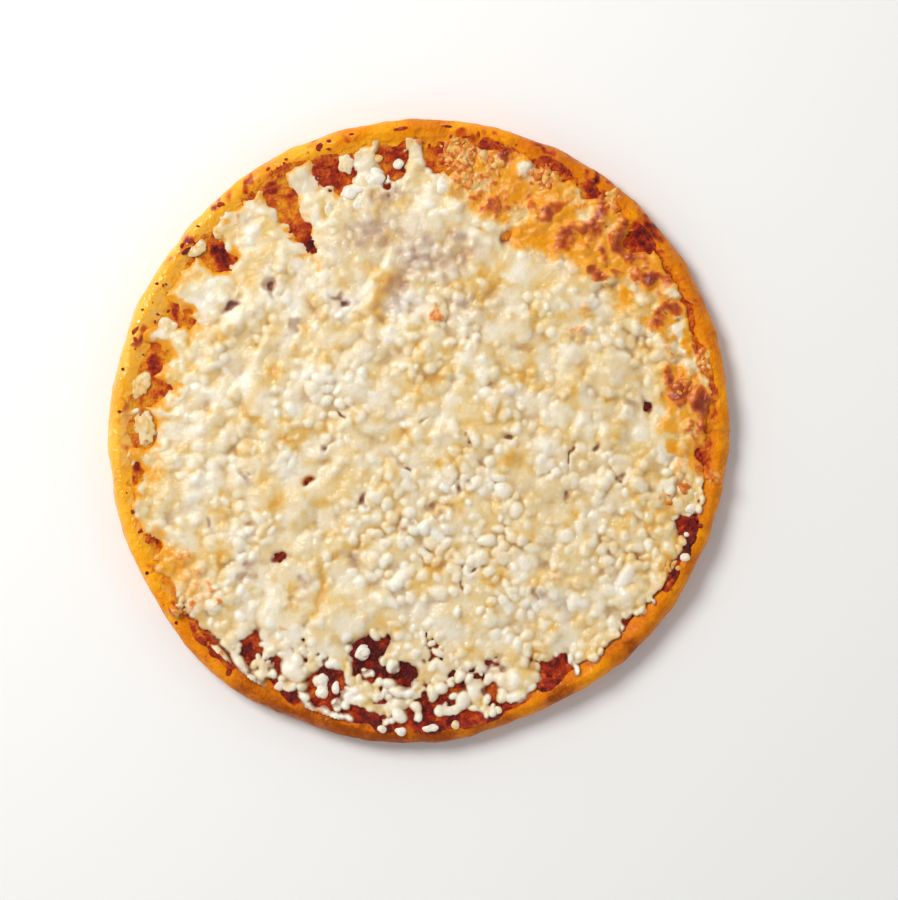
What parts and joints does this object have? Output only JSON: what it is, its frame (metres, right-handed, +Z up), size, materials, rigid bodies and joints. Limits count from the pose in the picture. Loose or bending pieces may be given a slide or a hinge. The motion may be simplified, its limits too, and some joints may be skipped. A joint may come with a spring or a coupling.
{
  "type": "cheese pizza",
  "caption": "Whole round cheese pizza, baked and uncut: dough base with a low rounded rim, tomato sauce and a melted, curdy cheese sheet.",
  "frame": {"origin": "middle of the flat underside, centred on the pizza's box", "axes": "+Z up through the toppings, +X to the right and +Y to the top of the pizza as seen from above"},
  "size_m": [0.2992, 0.3008, 0.0177],
  "materials": {
    "dough": "baked dough, golden yellow to orange brown, satin with an oily sheen",
    "tomato_sauce": "cooked tomato sauce, deep red to orange where oil has mixed in, wet",
    "cheese": "melted curd cheese, cream white with pale golden patches, slightly oily",
    "toasted_cheese": "toasted cheese, golden to light brown"
  },
  "bodies": {
    "root": {"crust": "dough", "sauce": "tomato_sauce", "cheese": "cheese", "toasted_crumbs": "toasted_cheese", "cheese_blob_left": "cheese", "cheese_patch_left": "cheese", "cheese_lump_in_gap": "cheese", "cheese_pair_in_gap": "cheese", "toasted_curd_right": "toasted_cheese"}
  },
  "joints": []
}
